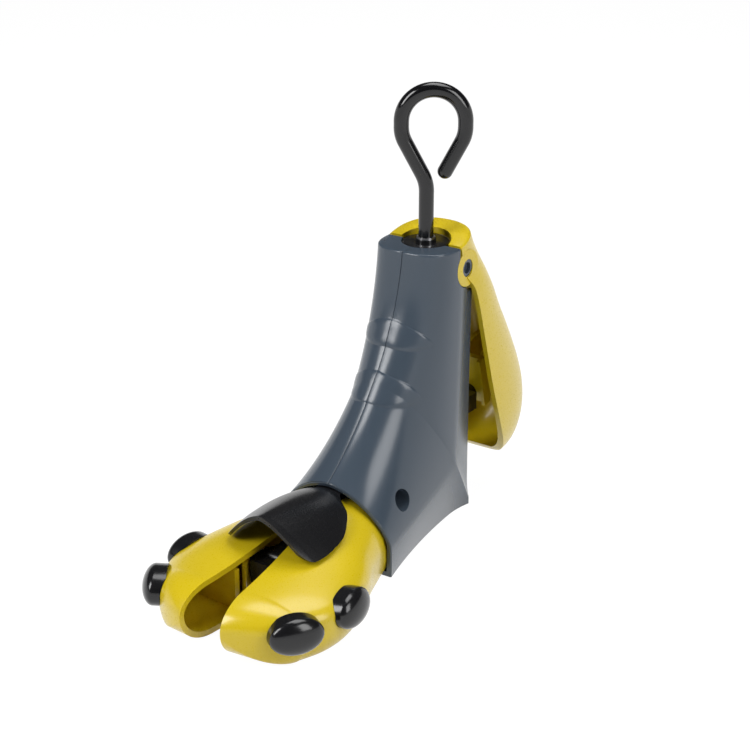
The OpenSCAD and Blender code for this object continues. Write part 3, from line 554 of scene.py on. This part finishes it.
def heel_plate():
    last = len(HEEL_KEYS) - 1
    outer = loft("heel_outer", [u_section(spline(HEEL_KEYS, i * last / HEEL_ROWS), 0, 0)
                                for i in range(HEEL_ROWS + 1)])
    rows = []
    for i in range(HEEL_ROWS + 1):
        f = i / HEEL_ROWS
        k = spline(HEEL_KEYS, lerp(2.3, 15.2, f))
        k[2] += f * HEEL_WALL
        k[4] += f ** 3 * HEEL_WALL
        rows.append(u_section(k, HEEL_WALL, 8))
    hollow = loft("heel_hollow", rows)
    half, y, z, high, rib = 8.0, 26.8, 38, 30, 2.4
    inside = [box(-half, y, z, 2 * half, 3, high)]
    inside += [box(x, y, z, rib, 60, high) for x in (-half, half - rib)]
    inside += [box(x, 23.8, z, 2, 6, high) for x in (-half - 2, half)]
    plate = solve(outer, [solve(hollow, inside)])
    ears = [drum((x, PIVOT[0], PIVOT[1]), "x", EAR_R, EAR_T, sides=160)
            for x in (-HEEL_TOP_W, HEEL_TOP_W - EAR_T)]
    plate = solve(plate, ears, "UNION")
    plate = solve(plate, [drum((-50, PIVOT[0], PIVOT[1]), "x", STUB_R + 0.06, 100),
                          drum((0, 1.2, BODY_H - 20), "z", HORSESHOE_R, 40, sides=160),
                          box(-HORSESHOE_R, -20, BODY_H - 20, 2 * HORSESHOE_R, 21.2, 40)])
    plate.data.transform(about((0, *PIVOT), "X", HEEL_OPEN))
    plate.name = "heel_shell"
    return plate


dress(heel_plate(), "heel", ["heel_plate"], "yellow", YELLOW, edge=0.8)

# Toe halves, built closed and then turned open
TOE_KEYS = [
    (74, 84, 27.4, 41.8, 18, 6), (82, 88, 28.8, 41.8, 18.4, 6), (93, 95, 31.2, 41.2, 19, 6),
    (106, 106, TOE_W - 8.9, 39.6, 19.4, 6), (122, 122, TOE_W - 3.5, 36.8, 19.6, 6.5),
    (142, 142, TOE_W, 33.4, 19.6, 7), (158, 158, TOE_W - 2, 31.4, 19, 7),
    (TOE_TIP - 21.5, TOE_TIP - 21.5, TOE_W - 8.4, 30.4, 17.4, 6.5)]
TOE_ROWS, TIP_ROWS, ROOF, SIDE = 90, 36, 44, 16


def toe_section(k, low, d, start):
    w, top, mid, p = k[2] - d, k[3] - d, k[4], 2.0
    edge = max(w - k[5], 0.4 * w)
    outline = [(start, low)] if start < TOE_SEAM else []
    outline += [(lerp(TOE_SEAM, edge, u), low) for u in (0, 0.33, 0.66)]
    for j in range(SIDE):
        a = math.pi / 2 * j / SIDE
        outline.append((edge + (w - edge) * math.sin(a), mid - (mid - low) * math.cos(a)))
    for j in range(ROOF + 1):
        a = math.pi / 2 * j / ROOF
        outline.append((TOE_SEAM + (w - TOE_SEAM) * max(math.cos(a), 0) ** (2 / p),
                        mid + (top - mid) * math.sin(a) ** (2 / p)))
    if start < TOE_SEAM:
        outline.append((start, top))
    return [(x, -lerp(k[0], k[1], z / TOE_BACK_H), z) for x, z in outline]


def tip_section(u, d, start):
    k = TOE_KEYS[-1]
    a = math.radians(86 * u)
    c = math.cos(a)
    shrink = (1 - math.sin(a) ** 1.5) ** (2 / 3)
    mid = k[4]
    y = TOE_TIP - 21.5 + (21.5 - d) * math.sin(a)
    key = (y, y, d + (k[2] - d) * shrink, d + mid + (k[3] - d - mid) * c, mid, k[5] * shrink)
    return toe_section(key, mid - (mid - max(d, 0)) * c, d, start)


def toe_solid(d, start):
    last = len(TOE_KEYS) - 1
    rows = [toe_section(spline(TOE_KEYS, i * last / TOE_ROWS), max(d, 0), d, start)
            for i in range(TOE_ROWS + 1)]
    rows += [tip_section(i / TIP_ROWS, d, start) for i in range(1, TIP_ROWS + 1)]
    if d > 0:
        rows.insert(0, [(p[0], p[1] + 8, p[2]) for p in rows[0]])
    return loft("toe_solid", rows)


def ramp():
    points = []
    for i in range(-1, 7):
        s = 27.18 * i / 5
        angle = math.radians(TOE_OPEN * s / 23.78)
        qx = 10.5 + SEAT - HINGE[0]
        qy = -127 - 0.7 * math.cos(math.radians(12)) * s + 1.4 - HINGE[1]
        points.append((HINGE[0] + qx * math.cos(angle) + qy * math.sin(angle),
                       HINGE[1] - qx * math.sin(angle) + qy * math.cos(angle)))
    return prism(points + [(x + 3, y + 0.6) for x, y in reversed(points)], 1, 26)


PLUGS = [(TOE_W - 10.3, -177.3, 18.0, -40.0, 4.0), (TOE_W + 0.4, -143.4, 19.0, 2.0, 5.0)]


def plug_place(i):
    x, y, z, turn, tilt = PLUGS[i]
    return (Matrix.Translation((x, y, z)) @ Matrix.Rotation(math.radians(turn), 4, "Z")
            @ Matrix.Rotation(math.radians(-tilt), 4, "Y"))


def toe_half():
    hollow = solve(toe_solid(TOE_WALL, -6), [ramp(), box(3, -152, 1, 60, 3, 24),
                                             box(14.5, -130, 1, 60, 3, 20)])
    half = solve(toe_solid(0, TOE_SEAM), [hollow, box(-5, -82, -1, 60, 30, SOLE_T + 1.6),
                                          box(-5, -90, 25, 10, 40, 30)])
    half = solve(half, [box(HINGE[0] - 5, -92, 1, 10, 9.5, 10),
                        box(HINGE[0] - 5, -92, SOLE_T + 0.6, 10, 92 + HINGE[1], 7.4),
                        drum((HINGE[0], HINGE[1], SOLE_T + 0.6), "z", 5, 7.4)], "UNION")
    cuts = [drum((HINGE[0], HINGE[1], -1), "z", 2.56, 20)]
    for i in range(2):
        hole = drum((-9, 0, 0), "x", STEM_R + 0.06, 12)
        hole.data.transform(plug_place(i))
        cuts.append(hole)
    return solve(half, cuts)


def plug(i):
    sides, rows = 72, 26
    sections = []
    for k in range(rows + 1):
        if k == 0:
            size, x = 1.0, -6.0
        else:
            a = math.radians(86 * (k - 1) / (rows - 1))
            size, x = math.cos(a) ** 1.05, PLUG_T * math.sin(a)
        sections.append([(x, size * PLUG_L / 2 * math.cos(2 * math.pi * j / sides),
                          size * PLUG_H / 2 * math.sin(2 * math.pi * j / sides))
                         for j in range(sides)])
    dome = loft("plug", sections)
    dome.data.transform(plug_place(i))
    dome = solve(dome, [toe_solid(-SEAT, -20)])
    stem = drum((-5, 0, 0), "x", STEM_R, 8)
    stem.data.transform(plug_place(i))
    return solve(dome, [stem], "UNION")


def both_sides(base, names, bodies, nodes, slot, material, edge):
    base.data.transform(about((*HINGE, 0), "Z", TOE_OPEN))
    other = mirrored(base, names[1])
    base.name = names[0]
    for ob, body, node in zip((base, other), bodies, nodes):
        dress(ob, body, [node], slot, material, edge=edge)


both_sides(toe_half(), ("toe_left_shell", "toe_right_shell"), ("toe_left", "toe_right"),
           ("toe_half_left", "toe_half_right"), "yellow", YELLOW, 0.7)
for index, (long_name, short) in enumerate((("plug_front", "plug_f"), ("plug_rear", "plug_r"))):
    both_sides(plug(index), (long_name + "_dome_left", long_name + "_dome_right"),
               (short + "l", short + "r"), (long_name + "_left", long_name + "_right"),
               "black", BLACK, 0.5)

# Saddle
SADDLE_KEYS = [
    (6.5, 77, 46.3, 77, 47.3), (7, 88, 46.3, 88, 47.3), (10.5, 93, 45, 91.6, 48),
    (17.5, 98, 42.6, 97, 49.8), (22.5, 105, 40, 105, 51.4),
    (SADDLE_W - 0.9, 114, 37.4, 115, 52.8), (SADDLE_W + 0.5, 125, 35.8, 128, 54),
    (SADDLE_W + 0.2, 132, 34.9, 138, 54.7), (SADDLE_W - 0.8, 137.4, 34.8, 142.5, 55.1),
    (SADDLE_W - 3, 140.4, 36.4, 144.8, 55.3), (SADDLE_W - 6, 142.6, 39.2, 146.2, 55.4)]
CROWN_BACK, CROWN_FRONT = 2.1, 1.5
SADDLE_ROWS, SADDLE_STEPS = 90, 70


def saddle_curve(k, sink):
    f = min(1, (k[4] - k[2]) / k[0])
    crown = lerp(CROWN_BACK, CROWN_FRONT, min(1, max(0, (k[1] - 92) / 45)))
    w = k[0] - sink * f
    points = []
    for j in range(SADDLE_STEPS + 1):
        a = math.pi * j / SADDLE_STEPS
        u = 1 - abs(math.cos(a)) ** crown
        points.append((w * math.cos(a), -lerp(k[1], k[3], u),
                       lerp(k[2] - sink * (1 - f), k[4] - sink, u)))
    return points


def saddle():
    rows = []
    last = len(SADDLE_KEYS) - 1
    for i in range(SADDLE_ROWS + 1):
        k = spline(SADDLE_KEYS, i * last / SADDLE_ROWS)
        rows.append(saddle_curve(k, 0) + saddle_curve(k, SADDLE_T)[::-1])
    ob = loft("saddle_cover", rows)
    bosses = [drum((side * 4.6, -81, 44), "z", 2.9, 2) for side in (-1, 1)]
    ob = solve(ob, bosses, "UNION")
    return solve(ob, [drum((side * 4.6, -81, 39), "z", 1.4, 10) for side in (-1, 1)])


dress(saddle(), "body", ["saddle"], "satin_black", SATIN, edge=0.7)

# CAD nodes that stay get their finish
FINISH = {
    "shell_screws": STEEL, "top_bush": BLACK, "thrust_washer": STEEL, "handle_rod": LACQUER,
    "retaining_ring": STEEL, "tail_clip": STEEL, "cam_carriage": SATIN, "drive_nut": BRASS,
    "heel_pusher": BLACK, "heel_cam_pin": STEEL, "front_bar": SATIN, "front_cam_pin": STEEL,
    "spreader": SATIN, "spreader_pin": STEEL, "toe_pin_left": STEEL, "toe_pin_right": STEEL,
    "saddle_screws": STEEL, "guide_post": SATIN}
for node, material in FINISH.items():
    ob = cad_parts[node]
    ob.data.materials.clear()
    ob.data.materials.append(material)
    for polygon in ob.data.polygons:
        polygon.use_smooth = True
    ob.data.set_sharp_from_angle(angle=math.radians(CAD_SHARP_ANGLE))

# Floor, light and camera
scene = bpy.context.scene
scene.view_settings.view_transform = "Standard"


def unseen_light(tree):
    """1 for the rays that see the background itself."""
    path = tree.nodes.new("ShaderNodeLightPath")
    add = tree.nodes.new("ShaderNodeMath")
    add.operation = "ADD"
    more = tree.nodes.new("ShaderNodeMath")
    more.operation = "ADD"
    more.use_clamp = True
    tree.links.new(path.outputs["Is Camera Ray"], add.inputs[0])
    tree.links.new(path.outputs["Is Glossy Ray"], add.inputs[1])
    tree.links.new(add.outputs[0], more.inputs[0])
    tree.links.new(path.outputs["Is Transmission Ray"], more.inputs[1])
    return more.outputs[0]


FLOOR_R, FLOOR_SIDES, FLOOR_Z, WALL_H = 12.0, 64, -0.0004, 2.4
ring = [(FLOOR_R * math.cos(2 * math.pi * j / FLOOR_SIDES),
         FLOOR_R * math.sin(2 * math.pi * j / FLOOR_SIDES)) for j in range(FLOOR_SIDES)]
floor = make("floor", [(x, y, FLOOR_Z) for x, y in ring], [tuple(range(FLOOR_SIDES))])
backdrop = make("backdrop", [(x, y, z) for z in (FLOOR_Z, WALL_H) for x, y in ring],
                [(j, FLOOR_SIDES + j, FLOOR_SIDES + (j + 1) % FLOOR_SIDES, (j + 1) % FLOOR_SIDES)
                 for j in range(FLOOR_SIDES)])
paint = bpy.data.materials.new("floor_paint")
paint.use_nodes = True
tree = paint.node_tree
tree.nodes.clear()
out = tree.nodes.new("ShaderNodeOutputMaterial")
matt = tree.nodes.new("ShaderNodeBsdfDiffuse")
matt.inputs["Color"].default_value = (0.86, 0.86, 0.86, 1)
glow = tree.nodes.new("ShaderNodeEmission")
glow.inputs["Strength"].default_value = 1.12
mix = tree.nodes.new("ShaderNodeMixShader")
share = tree.nodes.new("ShaderNodeMath")
share.operation = "MULTIPLY"
share.inputs[1].default_value = 0.86
tree.links.new(unseen_light(tree), share.inputs[0])
tree.links.new(share.outputs[0], mix.inputs["Fac"])
tree.links.new(matt.outputs[0], mix.inputs[1])
tree.links.new(glow.outputs[0], mix.inputs[2])
tree.links.new(mix.outputs[0], out.inputs["Surface"])
floor.data.materials.append(paint)
backdrop.data.materials.append(paint)

world = bpy.data.worlds.new("studio")
scene.world = world
world.use_nodes = True
tree = world.node_tree
back = tree.nodes["Background"]
back.inputs["Color"].default_value = (1, 1, 1, 1)
back.inputs["Strength"].default_value = 0.06


def softbox(name, place, aim, width, height, power):
    lamp = bpy.data.lights.new(name, "AREA")
    lamp.shape = "RECTANGLE"
    lamp.size, lamp.size_y, lamp.energy = width, height, power
    ob = bpy.data.objects.new(name, lamp)
    scene.collection.objects.link(ob)
    ob.location = place
    ob.rotation_euler = (Vector(aim) - Vector(place)).to_track_quat("-Z", "Y").to_euler()


softbox("key", (-0.55, -1.0, 0.95), (0, -0.04, 0.08), 0.45, 0.8, 12)
softbox("side", (1.05, -0.15, 0.75), (0, -0.02, 0.08), 0.5, 0.8, 7)
softbox("top", (0.0, 0.25, 1.3), (0, 0, 0.1), 0.9, 0.7, 9)

camera = bpy.data.objects.new("camera", bpy.data.cameras.new("camera"))
scene.collection.objects.link(camera)
scene.camera = camera
camera.data.sensor_width = 36
camera.data.lens = 1700 * 36 / 750
AZIMUTH, ELEVATION, DISTANCE = math.radians(34.3), math.radians(22.6), 0.866
AIM = Vector((0.0055, -0.0553, 0.099))
back_way = Vector((math.sin(AZIMUTH) * math.cos(ELEVATION),
                   -math.cos(AZIMUTH) * math.cos(ELEVATION), math.sin(ELEVATION)))
camera.location = AIM + back_way * DISTANCE
camera.rotation_euler = (-back_way).to_track_quat("-Z", "Y").to_euler()
camera.data.clip_end = 50
